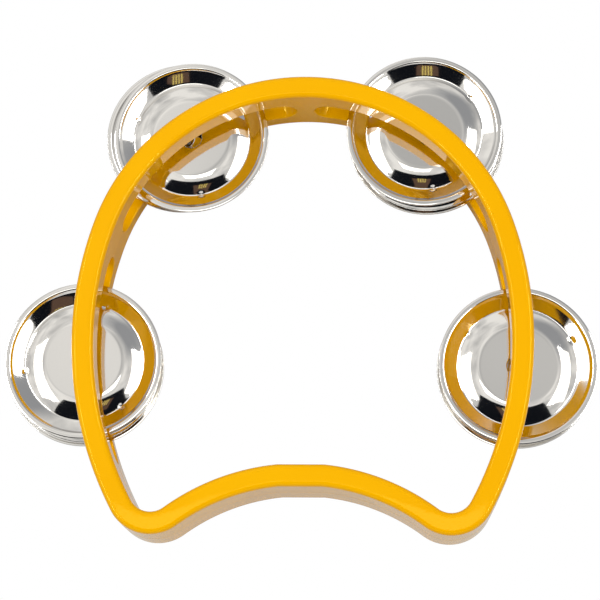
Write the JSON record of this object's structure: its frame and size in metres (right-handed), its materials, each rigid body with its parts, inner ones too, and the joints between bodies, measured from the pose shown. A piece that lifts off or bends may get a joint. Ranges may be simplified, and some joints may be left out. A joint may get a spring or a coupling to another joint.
{
  "type": "tambourine",
  "caption": "Small cutaway half-moon hand tambourine with a one-piece plastic frame, a concave grip and pairs of loose metal jingles on pins in slots.",
  "frame": {"origin": "middle of the bottom face of the bounding box, on the plane that the back face rests on, in the frame's mirror plane", "axes": "+Z from the back face to the front face, along the pins; +Y from the grip to the crown; +X to the player's right, seen from the front"},
  "size_m": [0.1762, 0.1475, 0.027],
  "materials": {
    "yellow_plastic": "moulded, glossy",
    "nickel_plate": "nickel plated, bright",
    "pin_steel": "drawn wire, bright"
  },
  "bodies": {
    "frame": {"frame": "yellow_plastic", "pin_top_left": "pin_steel", "pin_top_right": "pin_steel", "pin_left": "pin_steel", "pin_right": "pin_steel"},
    "jingle_top_left_lower": {"jingle_top_left_lower": "nickel_plate"},
    "jingle_top_left_upper": {"jingle_top_left_upper": "nickel_plate"},
    "jingle_top_right_lower": {"jingle_top_right_lower": "nickel_plate"},
    "jingle_top_right_upper": {"jingle_top_right_upper": "nickel_plate"},
    "jingle_left_lower": {"jingle_left_lower": "nickel_plate"},
    "jingle_left_upper": {"jingle_left_upper": "nickel_plate"},
    "jingle_right_lower": {"jingle_right_lower": "nickel_plate"},
    "jingle_right_upper": {"jingle_right_upper": "nickel_plate"}
  },
  "joints": [
    {"name": "top_left_lower_slide", "type": "slide", "parent": "frame", "child": "jingle_top_left_lower", "axis": [0, 0, 1], "range_m": [0, 0.002]},
    {"name": "top_left_upper_slide", "type": "slide", "parent": "jingle_top_left_lower", "child": "jingle_top_left_upper", "axis": [0, 0, 1], "range_m": [0, 0.002]},
    {"name": "top_right_lower_slide", "type": "slide", "parent": "frame", "child": "jingle_top_right_lower", "axis": [0, 0, 1], "range_m": [0, 0.002]},
    {"name": "top_right_upper_slide", "type": "slide", "parent": "jingle_top_right_lower", "child": "jingle_top_right_upper", "axis": [0, 0, 1], "range_m": [0, 0.002]},
    {"name": "left_lower_slide", "type": "slide", "parent": "frame", "child": "jingle_left_lower", "axis": [0, 0, 1], "range_m": [0, 0.002]},
    {"name": "left_upper_slide", "type": "slide", "parent": "jingle_left_lower", "child": "jingle_left_upper", "axis": [0, 0, 1], "range_m": [0, 0.002]},
    {"name": "right_lower_slide", "type": "slide", "parent": "frame", "child": "jingle_right_lower", "axis": [0, 0, 1], "range_m": [0, 0.002]},
    {"name": "right_upper_slide", "type": "slide", "parent": "jingle_right_lower", "child": "jingle_right_upper", "axis": [0, 0, 1], "range_m": [0, 0.002]}
  ]
}
